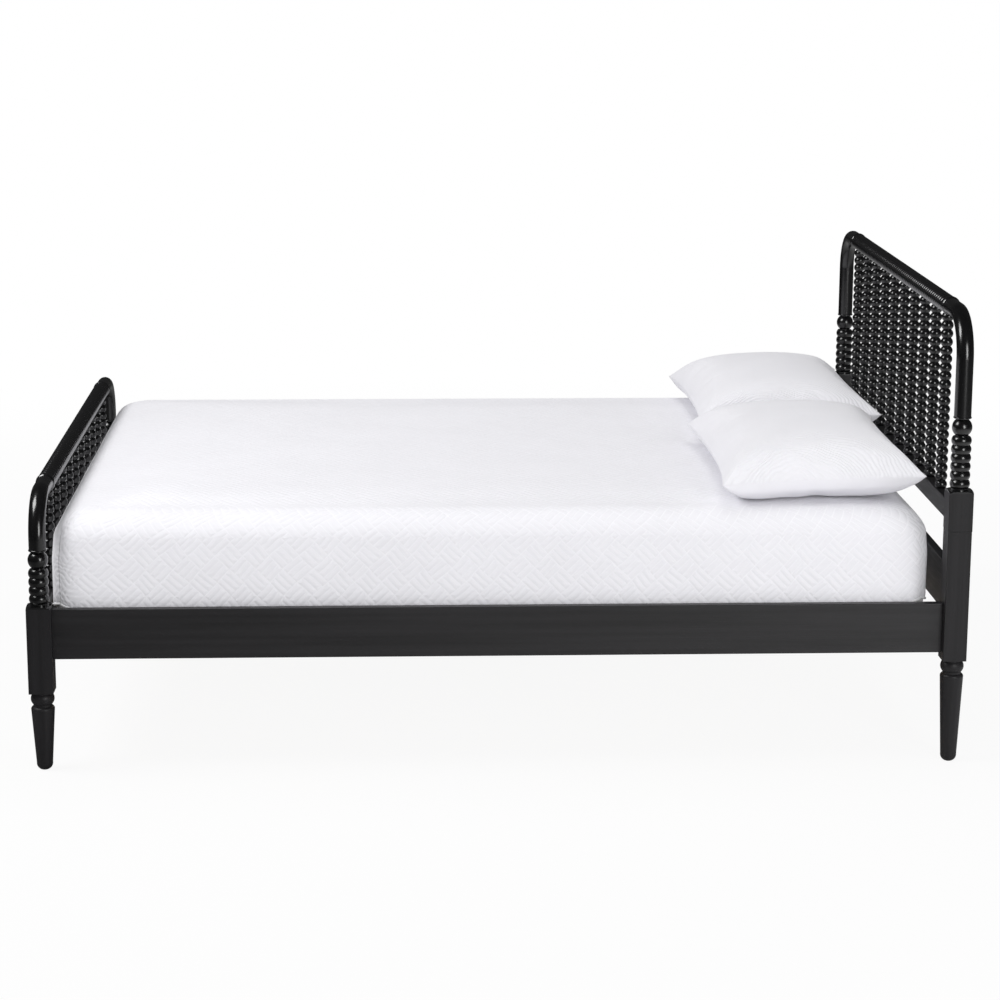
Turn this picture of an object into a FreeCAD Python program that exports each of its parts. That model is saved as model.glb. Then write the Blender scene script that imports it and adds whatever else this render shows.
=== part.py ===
import FreeCAD, Part
import math
import os

# Spindle bed: an arched headboard and footboard of bead-turned spindles under
# ring-turned rails, carried on square posts with turned legs, joined by flat
# side rails and topped by a mattress, its quilted cover and two pillows.
#
# Millimetres. +X runs from the footboard to the headboard, +Y to the left of
# someone lying in the bed, +Z up. The origin is on the floor at the centre of
# the bed.

# ---- overall ----
bed_length = 2148.0          # outside of the head posts to outside of the foot posts
bed_width = 1615.0           # outside of the right posts to outside of the left posts
head_height = 1065.0         # floor to the top of the headboard rail
foot_height = 658.0          # floor to the top of the footboard rail

# ---- square part of the posts ----
post_side = 56.0
post_edge_round = 1.5
pommel_drop = 7.0            # how far the turned shoulder falls from block top to corner
pommel_flat_dia = 52.0
pommel_bulge = 2.3
head_block_drop = 16.0       # side rail's bottom edge down to the head block's end
foot_block_drop = 76.0       # the same at the foot
head_seam_height = 552.0     # where the upper headboard stands on its legs
upper_block_height = 94.0    # head block above the seam
foot_block_rise = 11.0       # side rail's top edge up to the foot block's top
seam_step = 0.6              # the upper block stands proud of the leg by this much
seam_groove = 1.2            # small chamfer that shows the seam

# ---- turned legs under the blocks ----
leg_stem_dia = 44.0
leg_stem_length = 4.0
leg_bead_dia = 54.0
leg_bead_height = 25.0
leg_neck_dia = 43.0
leg_neck_length = 5.0
leg_shoulder_dia = 53.5
leg_shoulder_height = 9.0
leg_shoulder_bulge = 2.1
leg_toe_dia = 37.0
leg_toe_height = 17.0
leg_toe_bulge = 3.8
leg_flat_dia = 14.0

# ---- turned part of the posts above the blocks ----
collar_dia = 40.0
collar_height = 4.0
ring_dia = 46.0
ring_groove_dia = 38.0
ring_pitch = 20.0
head_ring_count = 6
foot_ring_count = 4
ball_dia = 46.0
ball_neck_dia = 27.0
ball_neck_length = 2.0

# ---- bent elbows ----
tube_dia = 39.0
tube_lip_dia = 41.5
tube_lip_height = 4.0
elbow_radius = 95.0          # centre line of the bend
elbow_tail = 70.0            # straight stretch between the bend and the ringed rail
joint_tenon_dia = 20.0       # round tenons that join the pieces of the arch
joint_tenon_length = 30.0

# ---- ringed top rails ----
rail_ring_dia = 42.5
rail_groove_dia = 37.0
rail_ring_pitch = 20.0
rail_collar_dia = 45.0
rail_collar_width = 12.0

# ---- spindles ----
spindle_count = 10
spindle_end_margin = 34.0    # end of the ringed rail to the first spindle
bead_dia = 25.0
bead_pitch = 19.8
bead_neck_dia = 15.3
spindle_tenon_dia = 11.0
spindle_tenon_length = 14.0

# ---- boards between the posts ----
panel_rail_rise = 9.0        # post seam up to the headboard rail under the spindles
panel_rail_height = 46.0
panel_rail_thickness = 28.0
head_board_drop = 38.0       # side rail's top edge down to the headboard's end board
board_height = 115.0
board_thickness = 22.0
board_round = 2.5
board_tenon_length = 14.0
board_tenon_thickness = 12.0
board_tenon_shoulder = 12.0  # how much lower the tenon is than its board, at each edge

# ---- side rails, cleats and slats ----
side_rail_bottom = 262.0
side_rail_height = 117.0
side_rail_thickness = 21.0
side_rail_recess = 22.0      # from the outside of the posts to the outside of the rail
side_rail_round = 2.5
slat_drop = 34.0             # slat tops lie this far below the side rail's top edge
slat_thickness = 18.0
slat_width = 90.0
slat_count = 11
slat_edge_round = 3.0
slat_end_gap = 2.0
slat_margin = 20.0           # mattress end to the outer edge of the end slat
cleat_width = 25.0
cleat_height = 28.0
cleat_round = 1.0
stiffener_width = 45.0       # bar under the middle of the slats
stiffener_height = 30.0
stiffener_round = 2.0

# ---- knock-down hardware ----
bolt_dia = 8.0
bolt_head_dia = 13.0
bolt_head_height = 8.0
bolt_head_round = 1.0
bolt_recess = 11.0           # counterbore depth in the post
bolt_reach = 52.0            # how far the bolt runs into the side rail
bolt_edge_distance = 27.0    # bolt axis to the rail's top and bottom edges
hex_key_size = 6.0
barrel_nut_dia = 12.0
barrel_nut_length = 15.0
barrel_nut_setback = 38.0    # rail end to the nut's axis
barrel_nut_floor = 3.0       # wood left outside the nut's pocket
screw_dia = 4.0
screw_head_dia = 8.0
screw_length = 32.0
screw_sink = 0.5             # screw heads lie this far below the slats' tops

# ---- mattress, cover and pillows ----
mattress_height = 250.0
mattress_foot_gap = 15.0     # footboard board to mattress
mattress_head_gap = 35.0     # mattress to headboard board
mattress_side_gap = 6.5      # side rail to mattress
mattress_corner = 85.0
mattress_bottom_roll = 80.0  # height of the rounded bottom edge
mattress_bottom_inset = 30.0
mattress_top_roll = 92.5     # height of the rounded top edge
mattress_top_inset = 34.0
mattress_crown = 7.5         # rise from the rounded edge to the middle
mattress_crown_inset = 200.0
cover_thickness = 2.5
cover_hem_height = 12.0      # bottom of the cover above the slats
pillow_length = 730.0        # across the bed, as filled
pillow_width = 476.0         # along the bed, as filled
pillow_crown = 95.0          # seam to the top of the pillow
pillow_belly = 51.0          # seam to the underside
pillow_tilt = 22.0           # how much higher the seam is towards the headboard
pillow_draw_in = 14.0        # how far each long side pulls in between the corners
pillow_edge = 8.0
pillow_head_gaps = {"left": 16.5, "right": 46.5}    # pillow corners to the headboard spindles
pillow_parting = 20.0        # where the two pillows meet, left of the bed's middle
pillow_gap = 2.0             # half the space between the two pillows
roll_steps = 4               # sections in each rounded edge of the soft pieces

# ---- fits ----
fit = 0.15                   # glued round and flat tenons, each side
clear = 0.3                  # soft pieces from what they touch
hole_clear = 0.3             # bolts and screws in their holes, each side
counterbore_clear = 2.0      # bolt heads in their counterbores, each side
bolt_end_clear = 2.0         # past the ends of the bolts
overshoot = 1.0              # how far cuts and fused stubs run past a face

sides = (("left", 1), ("right", -1))
ends = (("head", 1), ("foot", -1))
far = 2 * bed_length         # reaches past everything


# ---- derived positions ----
post_x = bed_length / 2 - post_side / 2
post_y = bed_width / 2 - post_side / 2
inner_y = bed_width / 2 - post_side          # inside faces of the posts
inner_x = bed_length / 2 - post_side
rail_y_outer = bed_width / 2 - side_rail_recess
rail_y_inner = rail_y_outer - side_rail_thickness
rail_y_mid = (rail_y_outer + rail_y_inner) / 2
side_rail_top = side_rail_bottom + side_rail_height
head_block_bottom = side_rail_bottom - head_block_drop
foot_block_bottom = side_rail_bottom - foot_block_drop
head_block_top = head_seam_height + upper_block_height
foot_block_top = side_rail_top + foot_block_rise
panel_rail_bottom = head_seam_height + panel_rail_rise
panel_rail_top = panel_rail_bottom + panel_rail_height
head_board_bottom = side_rail_top - head_board_drop
slat_top = side_rail_top - slat_drop
slat_bottom = slat_top - slat_thickness
rail_half = post_y - elbow_radius - elbow_tail
head_axis = head_height - rail_collar_dia / 2
foot_axis = foot_height - rail_collar_dia / 2
mattress_x0 = -post_x + board_thickness / 2 + mattress_foot_gap
mattress_x1 = post_x - board_thickness / 2 - mattress_head_gap
mattress_half = rail_y_inner - mattress_side_gap
cleat_y_mid = rail_y_inner - cleat_width / 2
cleat_screw_height = slat_bottom - cleat_height / 2
slat_screw_top = slat_top - screw_sink
foot_board_bottom = side_rail_top - board_height
ball_half = math.sqrt(ball_dia ** 2 - ball_neck_dia ** 2) / 2


def vec(x, y, z):
    return FreeCAD.Vector(x, y, z)


class Outline:
    """A half outline in radius and height, turned about the Z axis."""

    def __init__(self, height):
        self.at = (0.0, height)
        self.edges = []

    def line(self, radius, height):
        if abs(radius - self.at[0]) + abs(height - self.at[1]) > 1e-6:
            start = vec(self.at[0], 0, self.at[1])
            self.edges.append(Part.LineSegment(start, vec(radius, 0, height)).toShape())
        self.at = (radius, height)

    def arc(self, middle, end):
        start = vec(self.at[0], 0, self.at[1])
        curve = Part.Arc(start, vec(middle[0], 0, middle[1]), vec(end[0], 0, end[1]))
        self.edges.append(curve.toShape())
        self.at = end

    def bow(self, radius, height, bulge):
        """An arc to a point, which stands out from the straight way by the bulge."""
        run = radius - self.at[0]
        rise = height - self.at[1]
        share = bulge / math.hypot(run, rise)
        middle = (self.at[0] + run / 2 + rise * share, self.at[1] + rise / 2 - run * share)
        self.arc(middle, (radius, height))

    def ring(self, crest_radius, foot_radius, height):
        """One convex ring, from the present point up by its height."""
        base = self.at[1]
        self.line(foot_radius, base)
        self.arc((crest_radius, base + height / 2), (foot_radius, base + height))

    def turn(self):
        start = self.edges[0].Vertexes[0].Point
        self.line(0.0, self.at[1])
        self.line(start.x, start.z)
        face = Part.Face(Part.Wire(self.edges))
        return face.revolve(vec(0, 0, 0), vec(0, 0, 1), 360)


def moved(shape, x, y, z):
    copy = shape.copy()
    copy.translate(vec(x, y, z))
    return copy


def turned_to(shape, axis_from, axis_to):
    copy = shape.copy()
    copy.Placement = FreeCAD.Placement(vec(0, 0, 0), FreeCAD.Rotation(axis_from, axis_to))
    return copy


def block(x0, x1, y0, y1, z0, z1):
    low = vec(min(x0, x1), min(y0, y1), min(z0, z1))
    return Part.makeBox(abs(x1 - x0), abs(y1 - y0), abs(z1 - z0), low)


def edges_along(shape, axis):
    found = []
    for edge in shape.Edges:
        if len(edge.Vertexes) == 2:
            run = edge.Vertexes[1].Point - edge.Vertexes[0].Point
            if run.Length > 1e-6 and abs(abs(run.dot(axis)) / run.Length - 1) < 1e-6:
                found.append(edge)
    return found


def eased(shape, axis, radius):
    return shape.makeFillet(radius, edges_along(shape, axis))


def rod(start, direction, length, diameter):
    return Part.makeCylinder(diameter / 2, length, start, direction)


# ---- turned work ----
def turned_leg(top):
    """The round leg from the floor up to the underside of its square block."""
    neck_top = top - leg_stem_length - leg_bead_height
    neck_bottom = neck_top - leg_neck_length
    shoulder = neck_bottom - leg_shoulder_height
    outline = Outline(0.0)
    outline.line(leg_flat_dia / 2, 0.0)
    outline.bow(leg_toe_dia / 2, leg_toe_height, leg_toe_bulge)
    outline.line(leg_shoulder_dia / 2, shoulder)
    outline.bow(leg_neck_dia / 2, neck_bottom, leg_shoulder_bulge)
    outline.line(leg_neck_dia / 2, neck_top)
    outline.ring(leg_bead_dia / 2, leg_stem_dia / 2, leg_bead_height)
    outline.line(leg_stem_dia / 2, top)
    return outline.turn()


def turned_column(base, ring_count):
    """Collar, rings and ball above a block; returns the solid and its top."""
    outline = Outline(base)
    outline.line(collar_dia / 2, base)
    outline.line(collar_dia / 2, base + collar_height)
    for _ in range(ring_count):
        outline.ring(ring_dia / 2, ring_groove_dia / 2, ring_pitch)
    neck = ball_neck_dia / 2
    outline.line(neck, outline.at[1])
    outline.line(neck, outline.at[1] + ball_neck_length)
    outline.ring(ball_dia / 2, neck, 2 * ball_half)
    outline.line(neck, outline.at[1] + ball_neck_length)
    top = outline.at[1]
    socket = rod(vec(0, 0, top - joint_tenon_length - fit), vec(0, 0, 1),
                 joint_tenon_length + 2 * fit, joint_tenon_dia + 2 * fit)
    return outline.turn().cut(socket), top


def square_block(bottom, top, side, domed):
    """A square length of post; a domed one has the turned shoulder at its top."""
    half = side / 2
    shape = eased(block(-half, half, -half, half, bottom, top), vec(0, 0, 1), post_edge_round)
    if domed:
        corner = half * math.sqrt(2)
        outline = Outline(bottom)
        outline.line(corner, bottom)
        outline.line(corner, top - pommel_drop)
        outline.bow(pommel_flat_dia / 2, top, pommel_bulge)
        shape = shape.common(outline.turn())
    return shape


def spindle(bottom, top):
    """A bead-turned spindle with a round tenon at each end."""
    length = top - bottom
    count = max(1, round(length / bead_pitch))
    pitch = length / count
    tenon = spindle_tenon_dia / 2
    outline = Outline(bottom - spindle_tenon_length)
    outline.line(tenon, bottom - spindle_tenon_length)
    outline.line(tenon, bottom)
    for _ in range(count):
        outline.ring(bead_dia / 2, bead_neck_dia / 2, pitch)
    outline.line(tenon, top)
    outline.line(tenon, top + spindle_tenon_length)
    return outline.turn()


def spindle_places():
    first = spindle_end_margin - rail_half
    step = -2 * first / (spindle_count - 1)
    return [first + step * i for i in range(spindle_count)]


def drilled_for_spindles(shape, x, mouth, direction):
    """Bores for the spindle tenons, from the mouth height in one direction."""
    depth = spindle_tenon_length + fit + overshoot
    for y in spindle_places():
        start = vec(x, y, mouth - direction * overshoot)
        shape = shape.cut(rod(start, vec(0, 0, direction), depth, spindle_tenon_dia + 2 * fit))
    return shape


# ---- arch: post, elbow, ringed rail ----
def elbow(x, side, bottom, axis_height):
    """Straight tube, quarter bend and straight tail, with a tenon below."""
    bend_start = axis_height - elbow_radius
    y = side * post_y
    outline = Outline(bottom)
    outline.line(tube_dia / 2, bottom)
    outline.ring(tube_lip_dia / 2, tube_dia / 2, tube_lip_height)
    outline.line(tube_dia / 2, bend_start)
    shape = moved(outline.turn(), x, y, 0)
    disc = Part.Face(Part.Wire(Part.makeCircle(tube_dia / 2, vec(x, y, bend_start), vec(0, 0, 1))))
    pivot = vec(x, y - side * elbow_radius, bend_start)
    bend = disc.revolve(pivot, vec(side, 0, 0), 90)
    tail_start = vec(x, side * (rail_half + elbow_tail), axis_height)
    tail = rod(tail_start, vec(0, -side, 0), elbow_tail, tube_dia)
    shape = shape.fuse([bend, tail]).removeSplitter()
    tenon = rod(vec(x, y, bottom - joint_tenon_length), vec(0, 0, 1),
                joint_tenon_length + overshoot, joint_tenon_dia)
    socket = rod(vec(x, side * (rail_half - overshoot), axis_height), vec(0, side, 0),
                 joint_tenon_length + fit + overshoot, joint_tenon_dia + 2 * fit)
    return shape.fuse(tenon).cut(socket)


def ringed_rail(x, axis_height):
    """The ring-turned top rail, with end collars, tenons and spindle bores."""
    rings_length = 2 * (rail_half - rail_collar_width)
    count = max(1, round(rings_length / rail_ring_pitch))
    pitch = rings_length / count
    tenon = joint_tenon_dia / 2
    foot = rail_groove_dia / 2
    outline = Outline(-rail_half - joint_tenon_length)
    outline.line(tenon, -rail_half - joint_tenon_length)
    outline.line(tenon, -rail_half)
    outline.ring(rail_collar_dia / 2, tube_dia / 2, rail_collar_width)
    for _ in range(count):
        outline.ring(rail_ring_dia / 2, foot, pitch)
    outline.ring(rail_collar_dia / 2, tube_dia / 2, rail_collar_width)
    outline.line(tenon, rail_half)
    outline.line(tenon, rail_half + joint_tenon_length)
    rail = turned_to(outline.turn(), vec(0, 0, 1), vec(0, 1, 0))
    rail = moved(rail, x, 0, axis_height)
    return drilled_for_spindles(rail, x, axis_height - rail_ring_dia / 2, 1)


# ---- boards ----
def tenoned_board(x, bottom, height, thickness):
    """A board between two posts, with a flat tenon at each end."""
    half = thickness / 2
    shape = block(x - half, x + half, -inner_y, inner_y, bottom, bottom + height)
    shape = eased(shape, vec(0, 1, 0), board_round)
    tenon = board_tenon_thickness / 2
    reach = inner_y + board_tenon_length
    low = bottom + board_tenon_shoulder
    high = bottom + height - board_tenon_shoulder
    return shape.fuse(block(x - tenon, x + tenon, -reach, reach, low, high)).removeSplitter()


def mortise(x, side, bottom, height):
    """The slot in a post for one end of a tenoned board."""
    tenon = board_tenon_thickness / 2 + fit
    low = bottom + board_tenon_shoulder - fit
    high = bottom + height - board_tenon_shoulder + fit
    deep = inner_y + board_tenon_length + fit
    return block(x - tenon, x + tenon, side * (inner_y - overshoot), side * deep, low, high)


def bolt_heights():
    return (side_rail_bottom + bolt_edge_distance, side_rail_top - bolt_edge_distance)


def bolt_hole(end, side, height):
    """The bolt's counterbored way through the post and into the side rail."""
    inward = vec(-end, 0, 0)
    start = vec(end * (bed_length / 2 + overshoot), side * rail_y_mid, height)
    wide = rod(start, inward, bolt_recess + overshoot, bolt_head_dia + 2 * counterbore_clear)
    reach = post_side + bolt_reach + bolt_end_clear + overshoot
    return wide.fuse(rod(start, inward, reach, bolt_dia + 2 * hole_clear))


def with_bolt_holes(shape, end, side):
    for height in bolt_heights():
        shape = shape.cut(bolt_hole(end, side, height))
    return shape


def side_rail(side):
    shape = block(-inner_x, inner_x, side * rail_y_inner, side * rail_y_outer, side_rail_bottom, side_rail_top)
    shape = eased(shape, vec(1, 0, 0), side_rail_round)
    for _, end in ends:
        shape = with_bolt_holes(shape, end, side)
        for height in bolt_heights():
            start = vec(end * (inner_x - barrel_nut_setback), side * (rail_y_inner - overshoot), height)
            depth = side_rail_thickness - barrel_nut_floor + overshoot
            shape = shape.cut(rod(start, vec(0, side, 0), depth, barrel_nut_dia + 2 * hole_clear))
    return shape


def rail_bolts():
    """Socket-head bolts through the posts, two at each corner."""
    length = post_side - bolt_recess + bolt_reach
    head = rod(vec(0, 0, 0), vec(0, 0, 1), bolt_head_height, bolt_head_dia)
    rim = [edge for edge in head.Edges if abs(edge.CenterOfMass.z - bolt_head_height) < 1e-6]
    head = head.makeFillet(bolt_head_round, rim)
    corner = hex_key_size / math.sqrt(3)
    turns = [math.radians(60 * i) for i in range(7)]
    points = [vec(corner * math.cos(a), corner * math.sin(a), bolt_head_height / 2) for a in turns]
    head = head.cut(Part.Face(Part.makePolygon(points)).extrude(vec(0, 0, bolt_head_height)))
    bolt = head.fuse(rod(vec(0, 0, 0), vec(0, 0, -1), length, bolt_dia)).removeSplitter()
    placed = []
    for _, end in ends:
        for _, side in sides:
            for height in bolt_heights():
                copy = turned_to(bolt, vec(0, 0, 1), vec(end, 0, 0))
                placed.append(moved(copy, end * (bed_length / 2 - bolt_recess), side * rail_y_mid, height))
    return Part.makeCompound(placed)


def barrel_nuts():
    """Cross dowels in the side rails, threaded on the bolts."""
    placed = []
    for _, end in ends:
        for _, side in sides:
            for height in bolt_heights():
                x = end * (inner_x - barrel_nut_setback)
                start = vec(x, side * (rail_y_outer - barrel_nut_floor - barrel_nut_length), height)
                nut = rod(start, vec(0, side, 0), barrel_nut_length, barrel_nut_dia)
                thread = rod(vec(x - barrel_nut_dia, side * rail_y_mid, height), vec(1, 0, 0),
                             2 * barrel_nut_dia, bolt_dia + fit)
                placed.append(nut.cut(thread))
    return Part.makeCompound(placed)


# ---- slats and what carries them ----
def slat_places():
    first = mattress_x0 + slat_margin + slat_width / 2
    last = mattress_x1 - slat_margin - slat_width / 2
    step = (last - first) / (slat_count - 1)
    return [first + step * i for i in range(slat_count)]


def cleat_screw_places():
    """Midway between slats, in every second space."""
    slats = slat_places()
    return [(low + high) / 2 for low, high in zip(slats[::2], slats[1::2])]


def wood_screw(length):
    """A countersunk screw with its head at the origin, pointing down."""
    head_depth = (screw_head_dia - screw_dia) / 2
    outline = Outline(-length)
    outline.line(screw_dia / 2, -length + screw_dia)
    outline.line(screw_dia / 2, -head_depth)
    outline.line(screw_head_dia / 2, 0.0)
    return outline.turn()


def screw_hole(length):
    """The way for a screw, a little wider than it all over."""
    head_depth = (screw_head_dia - screw_dia) / 2
    outline = Outline(-length - hole_clear)
    outline.line(screw_dia / 2 + hole_clear, -length - hole_clear)
    outline.line(screw_dia / 2 + hole_clear, -head_depth - hole_clear)
    outline.line(screw_head_dia / 2 + hole_clear, 0.0)
    outline.line(screw_head_dia / 2 + hole_clear, overshoot)
    return outline.turn()


def slat_screw_spots():
    """Where each slat is screwed down: to both cleats and to the stiffener."""
    return [-cleat_y_mid, 0.0, cleat_y_mid]


def slat(x):
    half = slat_width / 2
    reach = rail_y_inner - slat_end_gap
    shape = block(x - half, x + half, -reach, reach, slat_bottom, slat_top)
    shape = eased(shape, vec(0, 1, 0), slat_edge_round)
    for y in slat_screw_spots():
        shape = shape.cut(moved(screw_hole(screw_length), x, y, slat_screw_top))
    return shape


def cleat(side):
    """The ledger strip that is screwed to the inside of a side rail."""
    y0 = side * (rail_y_inner - cleat_width)
    shape = block(-inner_x, inner_x, y0, side * rail_y_inner, slat_bottom - cleat_height, slat_bottom)
    shape = eased(shape, vec(1, 0, 0), cleat_round)
    for x in slat_places():
        shape = shape.cut(moved(screw_hole(screw_length), x, side * cleat_y_mid, slat_screw_top))
    for x in cleat_screw_places():
        shape = shape.cut(cleat_screw(x, side, screw_hole(screw_length)))
    return shape


def cleat_screw(x, side, shape):
    """Lays a screw, or its hole, level through the cleat into the side rail."""
    level = turned_to(shape, vec(0, 0, 1), vec(0, -side, 0))
    return moved(level, x, side * (rail_y_inner - cleat_width + screw_sink), cleat_screw_height)


def side_rail_with_cleat_holes(side):
    shape = side_rail(side)
    for x in cleat_screw_places():
        shape = shape.cut(cleat_screw(x, side, screw_hole(screw_length)))
    return shape


def stiffener():
    """The bar screwed under the middle of every slat, so that they share a load."""
    half = stiffener_width / 2
    places = slat_places()
    x0 = places[0] - slat_width / 2
    x1 = places[-1] + slat_width / 2
    shape = block(x0, x1, -half, half, slat_bottom - stiffener_height, slat_bottom)
    shape = eased(shape, vec(1, 0, 0), stiffener_round)
    for x in places:
        shape = shape.cut(moved(screw_hole(screw_length), x, 0, slat_screw_top))
    return shape


def wood_screws():
    placed = []
    screw = wood_screw(screw_length)
    for x in slat_places():
        for y in slat_screw_spots():
            placed.append(moved(screw, x, y, slat_screw_top))
    for _, side in sides:
        for x in cleat_screw_places():
            placed.append(cleat_screw(x, side, screw))
    return Part.makeCompound(placed)


# ---- soft pieces ----
def rounded_rectangle(x0, x1, y0, y1, radius, height):
    points = []
    for cx, cy, turn in ((x1, y1, 0), (x0, y1, 90), (x0, y0, 180), (x1, y0, 270)):
        ox = cx - math.copysign(radius, cx - (x0 + x1) / 2)
        oy = cy - math.copysign(radius, cy - (y0 + y1) / 2)
        for a in (turn, turn + 45, turn + 90):
            r = math.radians(a)
            points.append(vec(ox + radius * math.cos(r), oy + radius * math.sin(r), height))
    edges = []
    for i in range(4):
        a, b, c = points[3 * i:3 * i + 3]
        edges.append(Part.Arc(a, b, c).toShape())
        edges.append(Part.LineSegment(c, points[(3 * i + 3) % 12]).toShape())
    return Part.Wire(edges)


def mattress_sections():
    """Height above the mattress's underside and inset of each section, from the bottom up."""
    shoulder = mattress_height - mattress_crown
    low = []
    high = []
    for step in range(roll_steps + 1):
        a = math.pi / 2 * step / roll_steps
        low.append((mattress_bottom_roll * (1 - math.cos(a)), mattress_bottom_inset * (1 - math.sin(a))))
        high.append((shoulder - mattress_top_roll * (1 - math.sin(a)), mattress_top_inset * (1 - math.cos(a))))
    crown = []
    for share in (0.5, 1.0):
        rise = mattress_crown * math.sin(math.pi / 2 * share)
        inset = mattress_top_inset + (mattress_crown_inset - mattress_top_inset) * share
        crown.append((shoulder + rise, inset))
    return low + high + crown


def mattress_form(grow):
    """The mattress with its crown and drawn-in edges, grown a little on its sides and top."""
    wires = []
    for height, inset in mattress_sections():
        level = slat_top + clear + height * (1 + grow / mattress_height)
        half = mattress_half - inset + grow
        x0 = mattress_x0 + inset - grow
        x1 = mattress_x1 - inset + grow
        wires.append(rounded_rectangle(x0, x1, -half, half, mattress_corner, level))
    return Part.makeLoft(wires, True, True)


def mattress_cover():
    """The fitted quilted cover: a skin over the top and sides, open below."""
    outer = mattress_form(clear + cover_thickness)
    inner = mattress_form(clear)
    under = block(-far, far, -far, far, slat_top - far, slat_top + cover_hem_height)
    return outer.cut(inner).cut(under)


def pillow(side, head_gap):
    """A pillow lying on the cover: lens-shaped sections that swell between knife edges."""
    top_of_bed = slat_top + clear + mattress_height + clear + cover_thickness
    tilt_sag = pillow_tilt ** 2 / (16 * pillow_belly)
    seam = top_of_bed + clear + pillow_belly + tilt_sag
    head = post_x - bead_dia / 2 - head_gap
    wires = []
    for step in range(2 * roll_steps + 1):
        share = (1 - math.cos(math.pi / 2 * step / roll_steps)) / 2
        fullness = math.sqrt(abs(math.sin(math.pi * share)))
        y = pillow_parting + side * (pillow_gap + pillow_length * share)
        x0 = head - pillow_width + pillow_draw_in * fullness
        x1 = head - pillow_draw_in * fullness
        up = pillow_edge / 2 + (pillow_crown - pillow_edge / 2) * fullness
        down = pillow_edge / 2 + (pillow_belly - pillow_edge / 2) * fullness
        front = vec(x0, y, seam - pillow_tilt / 2)
        back = vec(x1, y, seam + pillow_tilt / 2)
        mid = (x0 + x1) / 2
        over = Part.Arc(front, vec(mid, y, seam + up), back).toShape()
        under = Part.Arc(back, vec(mid, y, seam - down), front).toShape()
        wires.append(Part.Wire([over, under]))
    return Part.makeLoft(wires, True, False)


# ---- headboard and footboard ----
def head_pieces(nodes):
    column, top = turned_column(head_block_top, head_ring_count)
    for name, side in sides:
        upper = square_block(head_seam_height, head_block_top, post_side, True)
        upper = upper.makeChamfer(seam_groove, bottom_edges(upper, head_seam_height))
        upper = moved(upper.fuse(column), post_x, side * post_y, 0)
        socket = rod(vec(post_x, side * post_y, head_seam_height - overshoot), vec(0, 0, 1),
                     joint_tenon_length + fit + overshoot, joint_tenon_dia + 2 * fit)
        upper = upper.cut(socket)
        upper = upper.cut(mortise(post_x, side, panel_rail_bottom, panel_rail_height))
        nodes["head_post_" + name] = upper
        lower = square_block(head_block_bottom, head_seam_height, post_side - 2 * seam_step, False)
        lower = lower.fuse(turned_leg(head_block_bottom))
        tenon = rod(vec(0, 0, head_seam_height - overshoot), vec(0, 0, 1),
                    joint_tenon_length + overshoot, joint_tenon_dia)
        lower = moved(lower.fuse(tenon), post_x, side * post_y, 0)
        lower = lower.cut(mortise(post_x, side, head_board_bottom, board_height))
        nodes["head_leg_" + name] = with_bolt_holes(lower, 1, side)
        nodes["head_elbow_" + name] = elbow(post_x, side, top, head_axis)
    nodes["head_top_rail"] = ringed_rail(post_x, head_axis)
    rail = tenoned_board(post_x, panel_rail_bottom, panel_rail_height, panel_rail_thickness)
    nodes["head_panel_rail"] = drilled_for_spindles(rail, post_x, panel_rail_top, -1)
    nodes["head_end_board"] = tenoned_board(post_x, head_board_bottom, board_height, board_thickness)
    turning = spindle(panel_rail_top, head_axis - rail_ring_dia / 2)
    for i, y in enumerate(spindle_places()):
        nodes["head_spindle_%d" % (i + 1)] = moved(turning, post_x, y, 0)


def bottom_edges(shape, height):
    """Outer edges of a shape's bottom face."""
    found = []
    for edge in shape.Edges:
        if max(abs(v.Point.z - height) for v in edge.Vertexes) < 1e-6:
            found.append(edge)
    return found


def foot_pieces(nodes):
    column, top = turned_column(foot_block_top, foot_ring_count)
    for name, side in sides:
        post = square_block(foot_block_bottom, foot_block_top, post_side, True)
        post = post.fuse([column, turned_leg(foot_block_bottom)])
        post = moved(post, -post_x, side * post_y, 0)
        post = post.cut(mortise(-post_x, side, foot_board_bottom, board_height))
        nodes["foot_post_" + name] = with_bolt_holes(post, -1, side)
        nodes["foot_elbow_" + name] = elbow(-post_x, side, top, foot_axis)
    nodes["foot_top_rail"] = ringed_rail(-post_x, foot_axis)
    board = tenoned_board(-post_x, foot_board_bottom, board_height, board_thickness)
    nodes["foot_end_board"] = drilled_for_spindles(board, -post_x, side_rail_top, -1)
    turning = spindle(side_rail_top, foot_axis - rail_ring_dia / 2)
    for i, y in enumerate(spindle_places()):
        nodes["foot_spindle_%d" % (i + 1)] = moved(turning, -post_x, y, 0)


def base_pieces(nodes):
    for name, side in sides:
        nodes["side_rail_" + name] = side_rail_with_cleat_holes(side)
        nodes["slat_cleat_" + name] = cleat(side)
    for i, x in enumerate(slat_places()):
        nodes["slat_%d" % (i + 1)] = slat(x)
    nodes["slat_stiffener"] = stiffener()
    nodes["rail_bolts"] = rail_bolts()
    nodes["barrel_nuts"] = barrel_nuts()
    nodes["wood_screws"] = wood_screws()


def soft_pieces(nodes):
    nodes["mattress"] = mattress_form(0.0)
    nodes["mattress_cover"] = mattress_cover()
    for name, side in sides:
        nodes["pillow_" + name] = pillow(side, pillow_head_gaps[name])


def main():
    nodes = {}
    head_pieces(nodes)
    foot_pieces(nodes)
    base_pieces(nodes)
    soft_pieces(nodes)
    os.makedirs("parts", exist_ok=True)
    for name, shape in nodes.items():
        if not shape.isValid():
            print("not valid:", name)
        shape.exportStep("parts/%s.step" % name)
    print(len(nodes), "pieces")


main()
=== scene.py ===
import math
import bpy
import numpy as np
from mathutils import Matrix, Vector, noise


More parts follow.
